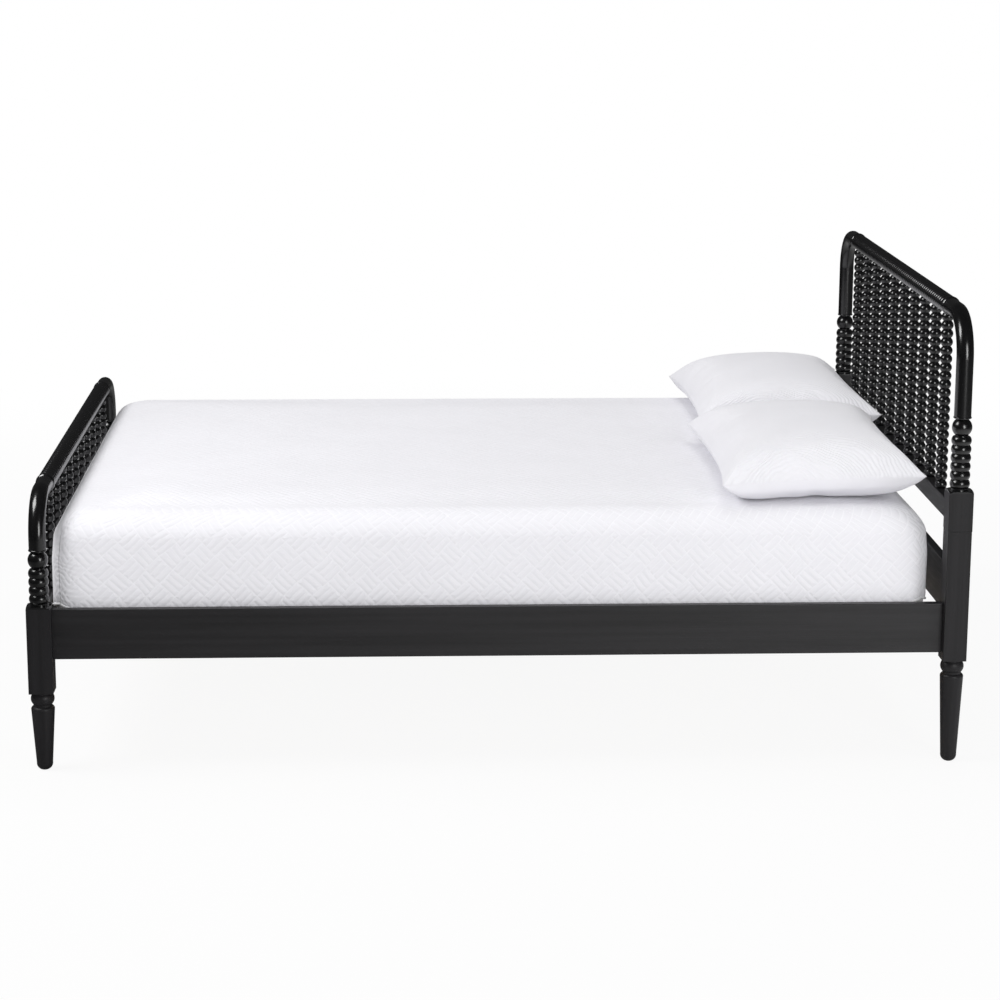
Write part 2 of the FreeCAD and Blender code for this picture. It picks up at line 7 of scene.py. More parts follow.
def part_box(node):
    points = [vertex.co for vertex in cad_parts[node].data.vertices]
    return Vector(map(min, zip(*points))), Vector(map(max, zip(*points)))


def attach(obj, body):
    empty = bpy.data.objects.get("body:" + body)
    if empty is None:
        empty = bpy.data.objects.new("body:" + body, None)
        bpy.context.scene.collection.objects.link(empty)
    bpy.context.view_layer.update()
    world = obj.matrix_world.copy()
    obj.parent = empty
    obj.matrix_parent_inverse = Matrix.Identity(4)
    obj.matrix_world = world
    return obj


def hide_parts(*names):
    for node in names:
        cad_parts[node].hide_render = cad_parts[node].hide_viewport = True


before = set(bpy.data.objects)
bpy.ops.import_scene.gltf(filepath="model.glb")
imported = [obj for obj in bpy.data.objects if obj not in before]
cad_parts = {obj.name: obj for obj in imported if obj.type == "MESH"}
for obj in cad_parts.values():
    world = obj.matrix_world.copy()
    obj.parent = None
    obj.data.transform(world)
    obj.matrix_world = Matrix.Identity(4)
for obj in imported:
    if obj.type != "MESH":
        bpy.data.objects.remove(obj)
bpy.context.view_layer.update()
ends = ("head", "foot")
sides = ("left", "right")
spindleCount = 10
slatCount = 11
print("frame loaded:", len(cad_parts), "pieces")


# shader helpers
def plug(tree, socket, value):
    # a link where the value comes from a node, else the plain value
    if isinstance(value, bpy.types.NodeSocket):
        tree.links.new(value, socket)
    else:
        socket.default_value = value


def addNode(tree, kind, plugs=None, **settings):
    node = tree.nodes.new("ShaderNode" + kind)
    for name, value in settings.items():
        setattr(node, name, value)
    for name, value in (plugs or {}).items():
        plug(tree, node.inputs[name], value)
    return node


def calc(tree, operation, *values):
    return addNode(tree, "Math", dict(enumerate(values)), operation=operation).outputs[0]


def withShare(tree, relief, extra, share):
    # one relief with a share of another on top
    return calc(tree, "ADD", relief, calc(tree, "MULTIPLY", extra, share))


def ranged(tree, value, low, high, newLow=0.0, newHigh=1.0, smooth=False):
    kind = "SMOOTHSTEP" if smooth else "LINEAR"
    plugs = {"Value": value, "From Min": low, "From Max": high, "To Min": newLow, "To Max": newHigh}
    return addNode(tree, "MapRange", plugs, interpolation_type=kind).outputs["Result"]


def mixColours(tree, factor, first, second):
    return addNode(tree, "Mix", {0: factor, 6: first, 7: second}, data_type="RGBA").outputs[2]


def clouds(tree, vector, scale, detail, roughness=0.5):
    plugs = {"Vector": vector, "Scale": scale, "Detail": detail, "Roughness": roughness}
    return addNode(tree, "TexNoise", plugs).outputs[0]


def wave(tree, along, period, sway):
    # a sine along a measured coordinate, swayed by a noise
    phase = calc(tree, "ADD", calc(tree, "MULTIPLY", along, 2 * math.pi / period), sway)
    return calc(tree, "SINE", phase)


def newGroup(name, inputs, outputs):
    group = bpy.data.node_groups.new(name, "ShaderNodeTree")
    for label, kind, value in inputs:
        socket = group.interface.new_socket(name=label, in_out="INPUT", socket_type="NodeSocket" + kind)
        if value is not None:
            socket.default_value = value
    for label, kind in outputs:
        group.interface.new_socket(name=label, in_out="OUTPUT", socket_type="NodeSocket" + kind)
    return group, group.nodes.new("NodeGroupInput"), group.nodes.new("NodeGroupOutput")


def useGroup(tree, group, plugs):
    return addNode(tree, "Group", plugs, node_tree=group)


def newMaterial(name, values):
    material = bpy.data.materials.new(name)
    material.use_nodes = True
    shader = material.node_tree.nodes["Principled BSDF"]
    for label, value in values.items():
        shader.inputs[label].default_value = value
    return material, material.node_tree, shader


def objectPlace(tree):
    return addNode(tree, "TexCoord").outputs["Object"]


def objectCoords(tree, scale=(1.0, 1.0, 1.0)):
    return addNode(tree, "Mapping", {"Vector": objectPlace(tree), "Scale": scale}).outputs["Vector"]


def bumped(tree, shader, height, strength, distance):
    plugs = {"Height": height, "Strength": strength, "Distance": distance}
    tree.links.new(addNode(tree, "Bump", plugs).outputs["Normal"], shader.inputs["Normal"])


# modelling helpers
def inMode(mode):
    bpy.ops.object.mode_set(mode=mode)


def deselect():
    if bpy.context.object and bpy.context.object.mode != "OBJECT":
        inMode("OBJECT")
    bpy.ops.object.select_all(action="DESELECT")


def pickOnly(piece):
    deselect()
    bpy.context.view_layer.objects.active = piece
    piece.select_set(True)


def placeInMesh(piece):
    pickOnly(piece)
    bpy.ops.object.transform_apply(location=True, rotation=True, scale=True)


def smoothed(piece, material):
    pickOnly(piece)
    bpy.ops.object.shade_smooth()
    piece.data.materials.append(material)


def readPoints(piece):
    points = np.empty(len(piece.data.vertices) * 3)
    piece.data.vertices.foreach_get("co", points)
    return points.reshape(-1, 3)


def writePoints(piece, points):
    piece.data.vertices.foreach_set("co", points.ravel())
    piece.data.update()


def cornerPoints(mesh):
    # which vertex each corner of each face uses
    corners = np.empty(len(mesh.loops), dtype=int)
    mesh.loops.foreach_get("vertex_index", corners)
    return corners


def eased(x):
    x = np.clip(x, 0.0, 1.0)
    return x * x * (3 - 2 * x)


def roomOf(node):
    low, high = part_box(node)
    return np.array(low), np.array(high)


def takesPlaceOf(piece, node):
    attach(piece, "root")
    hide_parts(node)


# effects that several finishes share
grain = {
    "bandScale": 1.0,
    "bandDetail": 3.0,
    "bandRelief": 0.4,
    "bandMiddle": (0.3, 0.7),
    "poreScale": 7.0,
    "poreDetail": 5.0,
    "poreRoughness": 0.7,
    "poreEdge": (0.35, 0.5),
}


def makeGrainGroup():
    # long pores and slow bands of timber, read along stretched coordinates
    tree, start, end = newGroup("timberGrain", [("Vector", "Vector", None), ("Pores", "Float", 0.5)],
                                [("Bands", "Float"), ("Relief", "Float")])
    place = start.outputs["Vector"]
    bands = clouds(tree, place, grain["bandScale"], grain["bandDetail"])
    pores = clouds(tree, place, grain["poreScale"], grain["poreDetail"], grain["poreRoughness"])
    depth = calc(tree, "MULTIPLY", ranged(tree, pores, *grain["poreEdge"]), start.outputs["Pores"])
    tree.links.new(bands, end.inputs["Bands"])
    tree.links.new(withShare(tree, depth, bands, grain["bandRelief"]), end.inputs["Relief"])
    return tree


def makeQuiltGroup():
    # squares of raised bricks at 45 degrees, each square's bricks crossing its neighbours',
    # with a stitched valley round each brick
    tree, start, end = newGroup("basketQuilt", [("Across", "Float", 0.0), ("Along", "Float", 0.0),
                                                ("Brick", "Float", 0.0149), ("Valley", "Float", 0.4)],
                                [("Height", "Float"), ("Stitch", "Float")])
    bricksInSquare = 3.0
    stitchWidth = 0.1        # share of a brick's width
    size = calc(tree, "MULTIPLY", start.outputs["Brick"], math.sqrt(2))
    u = calc(tree, "DIVIDE", start.outputs["Across"], size)
    v = calc(tree, "DIVIDE", start.outputs["Along"], size)
    p = calc(tree, "ADD", u, v)
    q = calc(tree, "SUBTRACT", u, v)
    squareP = calc(tree, "FLOOR", calc(tree, "DIVIDE", p, bricksInSquare))
    squareQ = calc(tree, "FLOOR", calc(tree, "DIVIDE", q, bricksInSquare))
    crossing = calc(tree, "FLOORED_MODULO", calc(tree, "ADD", squareP, squareQ), 2.0)
    toValley = []
    for across, along in ((p, q), (q, p)):
        toSide = calc(tree, "PINGPONG", across, 0.5)
        toEnd = calc(tree, "PINGPONG", along, bricksInSquare / 2)
        toValley.append(calc(tree, "MINIMUM", toSide, toEnd))
    nearest = addNode(tree, "Mix", {0: crossing, 2: toValley[0], 3: toValley[1]}).outputs[0]
    rise = ranged(tree, calc(tree, "DIVIDE", nearest, start.outputs["Valley"]), 0.0, 1.0, smooth=True)
    tree.links.new(rise, end.inputs["Height"])
    tree.links.new(ranged(tree, nearest, 0.0, stitchWidth, 1.0, 0.0), end.inputs["Stitch"])
    return tree


def makeFabricGroup():
    # fine threads and a little unevenness of the cloth
    tree, start, end = newGroup("fineThreads", [("Vector", "Vector", None), ("Threads", "Float", 900.0)],
                                [("Relief", "Float"), ("Cloud", "Float")])
    yarn = clouds(tree, start.outputs["Vector"], start.outputs["Threads"], 2.0)
    cloud = clouds(tree, start.outputs["Vector"], 6.0, 3.0)
    tree.links.new(yarn, end.inputs["Relief"])
    tree.links.new(cloud, end.inputs["Cloud"])
    return tree


grainGroup = makeGrainGroup()
quiltGroup = makeQuiltGroup()
fabricGroup = makeFabricGroup()
print("shared effects made")


# black lacquer: gloss on turned work, satin on boards, blocks and legs
gloss = {
    "colour": (0.003, 0.003, 0.0033, 1.0),
    "roughness": 0.22,
    "shine": 0.75,
    "coat": 0.0,
    "pores": 0.2,
    "relief": 0.08,
}
railGloss = dict(gloss, shine=1.0, coat=0.7)     # the ringed rails glint more
satin = {
    "colour": (0.010, 0.0095, 0.0105, 1.0),
    "roughness": 0.42,
    "shine": 0.48,
    "coat": 0.0,
    "pores": 0.6,
    "relief": 0.25,
}
lacquer = {
    "grainAlong": 1.6,       # grain features per metre along the wood
    "grainAcross": 60.0,
    "bandLift": 1.7,         # how much lighter the bands of the timber are
    "reliefRange": (0.2, 1.0),
    "roughLow": 0.85,        # roughness goes with the relief, between these shares of its value
    "roughHigh": 1.15,
    "reliefDepth": 0.0006,
    "postShine": 0.30,
    "postCoat": 0.9,         # on the turned lengths above a block
    "postPores": 0.5,
    "finishEdge": 0.001,     # the finish changes over this much at a block's top
    "blockReach": 0.02565,   # only a square block's corners are this far from the post's axis both ways
}


def timberCoords(tree, axis, along, across):
    scale = [across] * 3
    scale[axis] = along
    return objectCoords(tree, scale)


def bandedColour(tree, wood, colour):
    lighter = tuple(c * lacquer["bandLift"] for c in colour[:3]) + (1.0,)
    return mixColours(tree, ranged(tree, wood.outputs["Bands"], *grain["bandMiddle"]), colour, lighter)


def lacqueredGrain(tree, axis, pores):
    coords = timberCoords(tree, axis, lacquer["grainAlong"], lacquer["grainAcross"])
    return useGroup(tree, grainGroup, {"Vector": coords, "Pores": pores})


def paintedWood(name, axis, finish):
    # lacquer over timber whose grain runs along one axis
    material, tree, shader = newMaterial(name, {"Specular IOR Level": finish["shine"],
                                                "Coat Weight": finish["coat"],
                                                "Coat Roughness": finish["roughness"]})
    wood = lacqueredGrain(tree, axis, finish["pores"])
    tree.links.new(bandedColour(tree, wood, finish["colour"]), shader.inputs["Base Color"])
    rough = ranged(tree, wood.outputs["Relief"], *lacquer["reliefRange"],
                   finish["roughness"] * lacquer["roughLow"], finish["roughness"] * lacquer["roughHigh"])
    tree.links.new(rough, shader.inputs["Roughness"])
    bumped(tree, shader, wood.outputs["Relief"], finish["relief"], lacquer["reliefDepth"])
    return material


def postLacquer(name, top):
    # satin on the square block and the leg, gloss on the turned lengths above the block's top
    material, tree, shader = newMaterial(name, {"Specular IOR Level": lacquer["postShine"],
                                                "Coat Roughness": gloss["roughness"]})
    height = addNode(tree, "SeparateXYZ", {"Vector": objectPlace(tree)}).outputs["Z"]
    edge = lacquer["finishEdge"]
    flat = ranged(tree, height, top - edge, top + edge, 1.0, 0.0)
    wood = lacqueredGrain(tree, 2, lacquer["postPores"])
    tree.links.new(mixColours(tree, flat, gloss["colour"], bandedColour(tree, wood, satin["colour"])),
                   shader.inputs["Base Color"])
    tree.links.new(ranged(tree, flat, 0.0, 1.0, gloss["roughness"], satin["roughness"]),
                   shader.inputs["Roughness"])
    tree.links.new(ranged(tree, flat, 0.0, 1.0, lacquer["postCoat"], 0.0), shader.inputs["Coat Weight"])
    bumped(tree, shader, calc(tree, "MULTIPLY", wood.outputs["Relief"], flat), satin["relief"],
           lacquer["reliefDepth"])
    return material


def dress(names, material):
    for name in names:
        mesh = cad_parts[name].data
        for i in range(len(mesh.materials)):
            mesh.materials[i] = material
        if not mesh.materials:
            mesh.materials.append(material)


def blockTop(node):
    # the highest point at the corners of a post's square block
    points = readPoints(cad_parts[node])
    middle = (points.min(axis=0) + points.max(axis=0)) / 2
    reach = np.abs(points[:, :2] - middle[:2]).min(axis=1)
    return float(points[reach > lacquer["blockReach"]][:, 2].max())


railBlack = paintedWood("gloss black on turned rails", 1, railGloss)
turnedBlack = paintedWood("gloss black on spindles", 2, gloss)
sideBlack = paintedWood("satin black on side rails", 0, satin)
boardBlack = paintedWood("satin black on end boards", 1, satin)
for end in ends:
    dress(["%s_elbow_%s" % (end, side) for side in sides], turnedBlack)
dress(["side_rail_left", "side_rail_right"], sideBlack)
dress(["head_panel_rail", "head_end_board", "foot_end_board"], boardBlack)
for node in ("head_post", "head_leg", "foot_post"):
    finish = postLacquer("black on " + node.replace("_", " "), blockTop(node + "_right"))
    dress([node + "_" + side for side in sides], finish)
print("lacquer done")


# slats, cleats and steel
softPine = {
    "roughness": 0.62,
    "ior": 1.45,
    "grainAlong": 1.4,
    "grainAcross": 34.0,
    "pores": 0.5,
    "pale": (0.62, 0.44, 0.26, 1.0),
    "dark": (0.42, 0.26, 0.13, 1.0),
    "bandEdge": (0.4, 0.62),
    "relief": 0.3,
    "reliefDepth": 0.0005,
}
zinc = {
    "colour": (0.62, 0.63, 0.65, 1.0),
    "spotScale": 300.0,
    "roughness": (0.25, 0.45),
    "relief": 0.1,
    "reliefDepth": 0.0002,
}


def softwood(name, axis):
    material, tree, shader = newMaterial(name, {"Roughness": softPine["roughness"], "IOR": softPine["ior"]})
    coords = timberCoords(tree, axis, softPine["grainAlong"], softPine["grainAcross"])
    wood = useGroup(tree, grainGroup, {"Vector": coords, "Pores": softPine["pores"]})
    bands = ranged(tree, wood.outputs["Bands"], *softPine["bandEdge"], smooth=True)
    tree.links.new(mixColours(tree, bands, softPine["pale"], softPine["dark"]), shader.inputs["Base Color"])
    bumped(tree, shader, wood.outputs["Relief"], softPine["relief"], softPine["reliefDepth"])
    return material


def plainSteel():
    material, tree, shader = newMaterial("zinc plated steel", {"Metallic": 1.0, "Base Color": zinc["colour"]})
    spots = clouds(tree, objectCoords(tree), zinc["spotScale"], 3.0)
    tree.links.new(ranged(tree, spots, 0.3, 0.7, *zinc["roughness"]), shader.inputs["Roughness"])
    bumped(tree, shader, spots, zinc["relief"], zinc["reliefDepth"])
    return material


dress(["slat_%d" % (i + 1) for i in range(slatCount)], softwood("softwood across", 1))
dress(["slat_cleat_left", "slat_cleat_right", "slat_stiffener"], softwood("softwood along", 0))
dress(["rail_bolts", "barrel_nuts", "wood_screws"], plainSteel())
print("slats and hardware done")


# turned rows: fuller beads and deeper rings than the solids', on the same axes;
# crest and groove are diameters, tenon is what each end hides in its neighbour
bead = {"crest": 0.0285, "groove": 0.0185, "pitch": 0.0198, "tenon": 0.014, "sunk": 0.002}
ring = {"crest": 0.0425, "groove": 0.031, "pitch": 0.020, "tenon": 0.030, "sunk": 0.0}
collar = {"crest": 0.045, "groove": 0.039, "width": 0.012}
turning = {"facets": 28, "steps": 10}


def turnedRow(name, start, axis, pitch, count, form):
    # one bead drawn on ring by ring from its groove, then repeated along the axis
    deselect()
    tip = (0.0, 0.0, 0.0) if axis.z else (-math.pi / 2, 0.0, 0.0)
    bpy.ops.mesh.primitive_circle_add(vertices=turning["facets"], radius=form["groove"] / 2, location=start,
                                      rotation=tip)
    piece = bpy.context.object
    piece.name = name
    placeInMesh(piece)
    rise = (form["crest"] - form["groove"]) / 2
    arc = ((pitch / 2) ** 2 + rise ** 2) / (2 * rise)
    span = math.asin(pitch / 2 / arc)
    inMode("EDIT")
    bpy.ops.mesh.select_all(action="SELECT")
    alongNow, radiusNow = 0.0, form["groove"] / 2
    for step in range(1, turning["steps"] + 1):
        angle = -span + 2 * span * step / turning["steps"]
        along = pitch / 2 + arc * math.sin(angle)
        radius = form["crest"] / 2 - arc * (1 - math.cos(angle))
        bpy.ops.mesh.extrude_edges_move(TRANSFORM_OT_translate={"value": axis * (along - alongNow)})
        share = radius / radiusNow
        bpy.ops.transform.resize(value=[1.0 if a else share for a in axis], center_override=start)
        alongNow, radiusNow = along, radius
    bpy.ops.mesh.select_all(action="SELECT")
    bpy.ops.mesh.normals_make_consistent(inside=False)
    bpy.ops.mesh.faces_shade_smooth()
    inMode("OBJECT")
    if count > 1:
        repeat = piece.modifiers.new("repeat", "ARRAY")
        repeat.count = count
        repeat.use_relative_offset = False
        repeat.use_constant_offset = True
        repeat.constant_offset_displace = axis * pitch
        bpy.ops.object.modifier_apply(modifier=repeat.name)
    return piece


def rowPlace(node, axis, form, clear):
    # where a row starts on the solid's axis, its pitch and its count, clear of both ends
    low, high = (Vector(corner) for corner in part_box(node))
    middle = (low + high) / 2
    length = (high - low).dot(axis) - 2 * (form["tenon"] + clear - form["sunk"])
    count = round(length / form["pitch"])
    return middle - axis * (length / 2), length / count, count


def turnedSpindle(name, node):
    axis = Vector((0.0, 0.0, 1.0))
    start, pitch, count = rowPlace(node, axis, bead, 0.0)
    return turnedRow(name, start, axis, pitch, count, bead)


def turnedRail(name, node):
    # rings from end to end, closed by a wider collar at each end
    axis = Vector((0.0, 1.0, 0.0))
    width = collar["width"]
    start, pitch, count = rowPlace(node, axis, ring, width)
    parts = [turnedRow(name, start, axis, pitch, count, ring)]
    for place in (start - axis * width, start + axis * pitch * count):
        parts.append(turnedRow("collar", place, axis, width, 1, collar))
    pickOnly(parts[0])
    for part in parts[1:]:
        part.select_set(True)
    bpy.ops.object.join()
    return parts[0]


for end in ends:
    node = end + "_top_rail"
    piece = turnedRail(end + "_rings", node)
    piece.data.materials.append(railBlack)
    takesPlaceOf(piece, node)
    for i in range(spindleCount):
        node = "%s_spindle_%d" % (end, i + 1)
        piece = turnedSpindle("%s_beads_%d" % (end, i + 1), node)
        piece.data.materials.append(turnedBlack)
        takesPlaceOf(piece, node)
print("rails and spindles turned")


# cloth finishes
cotton = {"roughness": 0.85, "ior": 1.35, "sheen": 0.15, "sheenRoughness": 0.5}
quilting = {
    "colour": (0.862, 0.856, 0.894, 1.0),
    "shade": (0.838, 0.832, 0.868, 1.0),
    "stitchColour": (0.93, 0.925, 0.96, 1.0),
    "stitchStrength": 0.7,
    "brick": 0.0149,         # width of a raised brick
    "valley": 0.4,           # share of that width
    "wobbleScale": 9.0,
    "wobble": (-0.006, 0.006),
    "rippleScale": (30.0, 110.0, 160.0),
    "ripple": 0.5,
    "threads": 0.08,
    "sway": 24.0,
    "seamPuckerPeriod": 0.013,
    "seamPuckers": 0.6,
    "hemPuckerPeriod": 0.011,
    "hemPuckers": 0.5,
    "hemPuckerTop": 0.035,
    "seamShadowEdge": (0.91, 0.98),    # nearness to a corner seam where its painted shadow line starts and is full
    "seamShadowTop": (0.17, 0.20),     # heights up from the hem where the painted shadow fades out
    "seamShadowStrength": 0.8,
    # colour of the shadow painted in the furrow beside a corner seam
    "seamShadowColour": (0.3, 0.29, 0.31, 1.0),
    "relief": 0.32,
    "reliefDepth": 0.0028,
}
ribbing = {
    "colour": (0.872, 0.866, 0.904, 1.0),
    "shade": (0.852, 0.846, 0.882, 1.0),
    "centre": (-0.07, -0.5, 0.0),    # the ribs arch round this place, just off the pillow
    "period": 0.009,
    "swayScale": 7.0,
    "sway": 60.0,
    "rippleScale": 60.0,
    "ripple": 5.0,
    "threads": 0.25,
    "relief": 0.42,
    "reliefDepth": 0.0013,
}
plain = {"shade": 0.94, "relief": 0.3, "reliefDepth": 0.0005}


def whiteCloth(name, colour, shade):
    material, tree, shader = newMaterial(name, {"Roughness": cotton["roughness"], "IOR": cotton["ior"],
                                                "Sheen Weight": cotton["sheen"],
                                                "Sheen Roughness": cotton["sheenRoughness"]})
    threads = useGroup(tree, fabricGroup, {"Vector": objectCoords(tree)})
    colours = mixColours(tree, ranged(tree, threads.outputs["Cloud"], 0.3, 0.7), colour, shade)
    tree.links.new(colours, shader.inputs["Base Color"])
    return material, tree, shader, threads, colours


def puckers(tree, pull, wobble):
    # short folds beside the corner seams and up from the hem
    sway = calc(tree, "MULTIPLY", wobble, quilting["sway"])
    besideSeam = calc(tree, "MULTIPLY", wave(tree, pull["Y"], quilting["seamPuckerPeriod"], sway), pull["Z"])
    nearHem = ranged(tree, pull["Y"], 0.0, quilting["hemPuckerTop"], 1.0, 0.0, smooth=True)
    atHem = calc(tree, "MULTIPLY", wave(tree, pull["X"], quilting["hemPuckerPeriod"], sway), nearHem)
    return calc(tree, "ADD", calc(tree, "MULTIPLY", besideSeam, quilting["seamPuckers"]),
                calc(tree, "MULTIPLY", atHem, quilting["hemPuckers"]))


def quiltedCloth():
    # the quilting follows the piece's own map in metres; puckers follow the seams
    material, tree, shader, threads, colours = whiteCloth("quilted white cotton", quilting["colour"],
                                                          quilting["shade"])
    layout = addNode(tree, "SeparateXYZ", {"Vector": addNode(tree, "TexCoord").outputs["UV"]}).outputs
    wobble = clouds(tree, objectCoords(tree), quilting["wobbleScale"], 1.0)
    across = calc(tree, "ADD", layout["X"], ranged(tree, wobble, 0.3, 0.7, *quilting["wobble"]))
    quilt = useGroup(tree, quiltGroup, {"Across": across, "Along": layout["Y"], "Brick": quilting["brick"],
                                        "Valley": quilting["valley"]}).outputs
    stitched = calc(tree, "MULTIPLY", quilt["Stitch"], quilting["stitchStrength"])
    colours = mixColours(tree, stitched, colours, quilting["stitchColour"])
    # pull holds the way round, the way up from the hem and the nearness of a corner seam
    pull = addNode(tree, "Attribute", attribute_name="pull").outputs["Vector"]
    pull = addNode(tree, "SeparateXYZ", {"Vector": pull}).outputs
    # painted shadow: a dark line in the furrow beside each corner seam, fading out up from the hem
    seamShadow = calc(tree, "MULTIPLY", ranged(tree, pull["Z"], *quilting["seamShadowEdge"]),
                    ranged(tree, pull["Y"], *quilting["seamShadowTop"], quilting["seamShadowStrength"], 0.0))
    colours = mixColours(tree, seamShadow, colours, quilting["seamShadowColour"])
    tree.links.new(colours, shader.inputs["Base Color"])
    ripple = clouds(tree, objectCoords(tree, quilting["rippleScale"]), 1.0, 1.0)
    height = withShare(tree, quilt["Height"], ripple, quilting["ripple"])
    height = withShare(tree, height, threads.outputs["Relief"], quilting["threads"])
    height = calc(tree, "ADD", height, puckers(tree, pull, wobble))
    bumped(tree, shader, height, quilting["relief"], quilting["reliefDepth"])
    return material


def pillowCloth():
    # fine wavy ribs arching over the upper side; the underside is smooth
    material, tree, shader, threads, colours = whiteCloth("wavy white matelasse", ribbing["colour"],
                                                          ribbing["shade"])
    layout = addNode(tree, "TexCoord").outputs["UV"]
    sway = clouds(tree, layout, ribbing["swayScale"], 1.0)
    ripple = clouds(tree, layout, ribbing["rippleScale"], 1.0)
    arch = addNode(tree, "VectorMath", {0: layout, 1: ribbing["centre"]}, operation="DISTANCE")
    sways = calc(tree, "ADD", calc(tree, "MULTIPLY", sway, ribbing["sway"]),
                 calc(tree, "MULTIPLY", ripple, ribbing["ripple"]))
    ribs = wave(tree, arch.outputs["Value"], ribbing["period"], sways)
    ribbed = addNode(tree, "Attribute", attribute_name="ribbed").outputs["Fac"]
    ribs = calc(tree, "MULTIPLY", ribs, ribbed)
    height = withShare(tree, ribs, threads.outputs["Relief"], ribbing["threads"])
    bumped(tree, shader, height, ribbing["relief"], ribbing["reliefDepth"])
    return material


def plainCloth(name, colour):
    shade = tuple(c * plain["shade"] for c in colour[:3]) + (1.0,)
    material, tree, shader, threads, colours = whiteCloth(name, colour, shade)
    bumped(tree, shader, threads.outputs["Relief"], plain["relief"], plain["reliefDepth"])
    return material


quiltMaterial = quiltedCloth()
pillowMaterial = pillowCloth()
tapeMaterial = plainCloth("white cotton tape", (0.86, 0.86, 0.87, 1.0))
tickingMaterial = plainCloth("mattress ticking", (0.74, 0.74, 0.75, 1.0))
print("cloth finishes done")


# mattress and its quilted cover: blocks cut into even cells, rounded ring by ring
bedding = {
    "coverCell": 0.010,
    "coreCell": 0.030,
    "corner": 0.055,
    "bottomRoll": 0.024,
    "bottomInset": 0.012,
    "topRoll": 0.076,
    "topInset": 0.080,
    "topSeam": 20.0,         # degrees of the upper roll that the seam along the edge cuts off
    "rollRows": 25,
    "crown": 0.0075,
    "crownInset": 0.260,
    "headGap": 0.011,        # left free at the head end of the solids' room
    "footSwell": 0.010,      # the top is fuller towards the foot
    "swellPlace": 0.78,      # from the middle of the bed
    "swellReach": 0.28,
    "swellEdge": 0.12,
    "uneven": 4.5,           # bumps per metre
    "unevenSide": 0.0016,
    "unevenTop": 0.0022,
    "unevenEdge": 0.15,
}
hem = {
    "gatherPitch": 0.063,
    "gatherDepth": 0.0035,
    "gatherHeight": 0.03,
    "cornerLift": 0.024,
    "cornerReach": 0.075,
    "liftHeight": 0.13,
    "binding": 0.007,
}
cornerSeam = {
    "depth": 0.004,
    "width": 0.006,
    "puckerReach": 0.05,     # how far puckers run out from a seam
    "overTop": 0.02,         # how far seams and puckers run on over the top
    "headPuckers": 0.12,     # share of the foot corners' puckers
    "endPuckers": 0.1,       # share left on the two short ends
    "headDepth": 0.2,
}
touching = 1e-5              # closer than this is on the face or edge itself


def sideProfile(height, lowest):
    # height and inset up a side, from the hem to the edge of the top, the cloth's length so far,
    # and its length up to the seam along the top edge
    shoulder = height - bedding["crown"]
    turns = np.linspace(0, math.pi / 2, bedding["rollRows"])
    low = [(bedding["bottomRoll"] * (1 - math.cos(a)), bedding["bottomInset"] * (1 - math.sin(a)))
           for a in turns]
    turns = np.linspace(math.radians(bedding["topSeam"]), math.pi / 2, bedding["rollRows"])
    high = [(shoulder - bedding["topRoll"] * (1 - math.sin(a)), bedding["topInset"] * (1 - math.cos(a)))
            for a in turns]
    middle = [((low[-1][0] + 2 * high[0][0]) / 3, 0.0)]
    rows = np.array([row for row in low + middle + high if row[0] >= lowest])
    steps = np.hypot(*np.diff(rows, axis=0).T)
    lengths = np.concatenate([[0.0], np.cumsum(steps)])
    return rows, lengths, lengths[-len(high)]


def cutBlock(name, middle, size, cell, openBelow):
    deselect()
    bpy.ops.mesh.primitive_cube_add(size=1.0, location=middle, calc_uvs=False)
    block = bpy.context.object
    block.name = name
    block.scale = size
    placeInMesh(block)
    if openBelow:
        inMode("EDIT")
        bpy.ops.mesh.select_all(action="DESELECT")
        inMode("OBJECT")
        for face in block.data.polygons:
            face.select = face.normal.z < -0.5
        inMode("EDIT")
        bpy.ops.mesh.delete(type="ONLY_FACE")
        inMode("OBJECT")
    for axis in range(3):
        inMode("EDIT")
        bpy.ops.mesh.select_mode(type="EDGE")
        bpy.ops.mesh.select_all(action="DESELECT")
        inMode("OBJECT")
        vertices = block.data.vertices
        for edge in block.data.edges:
            a, b = (vertices[i].co for i in edge.vertices)
            edge.select = abs(b[axis] - a[axis]) > size[axis] * 0.9
        inMode("EDIT")
        bpy.ops.mesh.subdivide(number_cuts=round(size[axis] / cell) - 1)
        inMode("OBJECT")
    return block


def rounded(points, middle, half, rows, lengths, base):
    # sends each point of the cut block to its ring of the side, or to the crowned top
    edge = np.clip(points[:, 2], 0.0, lengths[-1])
    height = np.interp(edge, lengths, rows[:, 0])
    inset = np.interp(edge, lengths, rows[:, 1])
    reach = half[None, :] - inset[:, None]
    flat = (points[:, :2] - middle) / half * reach
    core = reach - bedding["corner"]
    inner = np.clip(flat, -core, core)
    out = flat - inner
    length = np.maximum(np.hypot(out[:, 0], out[:, 1]), 1e-9)
    out *= (np.abs(out).max(axis=1) / length)[:, None]
    fromEdge = (reach - np.abs(flat)).min(axis=1)
    onTop = points[:, 2] > lengths[-1] - 1e-6
    share = eased(fromEdge / (bedding["crownInset"] - bedding["topInset"]))
    height = np.where(onTop, height + bedding["crown"] * share, height)
    return np.column_stack([middle + inner + out, base + height])


